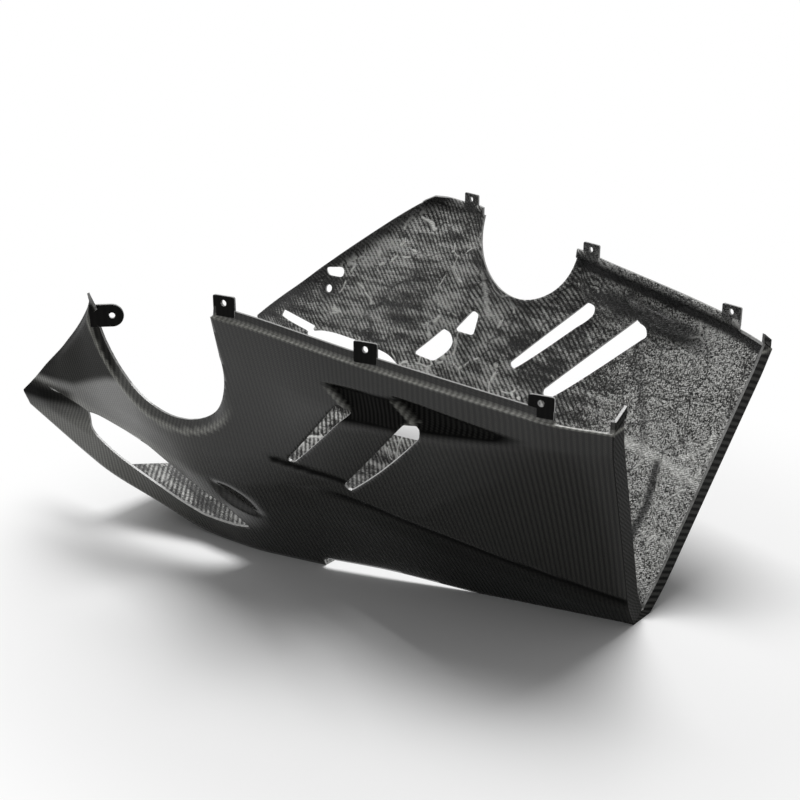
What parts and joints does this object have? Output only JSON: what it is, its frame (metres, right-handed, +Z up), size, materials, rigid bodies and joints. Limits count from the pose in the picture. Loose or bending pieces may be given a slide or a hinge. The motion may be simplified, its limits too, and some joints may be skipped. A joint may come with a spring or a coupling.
{
  "type": "motorcycle belly pan",
  "caption": "One-piece carbon laminate belly pan with V-shaped hull, engine cover cut-outs, nose intakes, gill slots and fixing tabs.",
  "frame": {"origin": "underside of the keel, in the middle of its flat front stretch", "axes": "+X towards the rear end of the pan, +Y towards the far side with the shallow engine cover cut-out, +Z up"},
  "size_m": [0.666, 0.4658, 0.2852],
  "materials": {
    "carbon_laminate": "gloss"
  },
  "bodies": {
    "root": {"belly_pan": "carbon_laminate"}
  },
  "joints": []
}
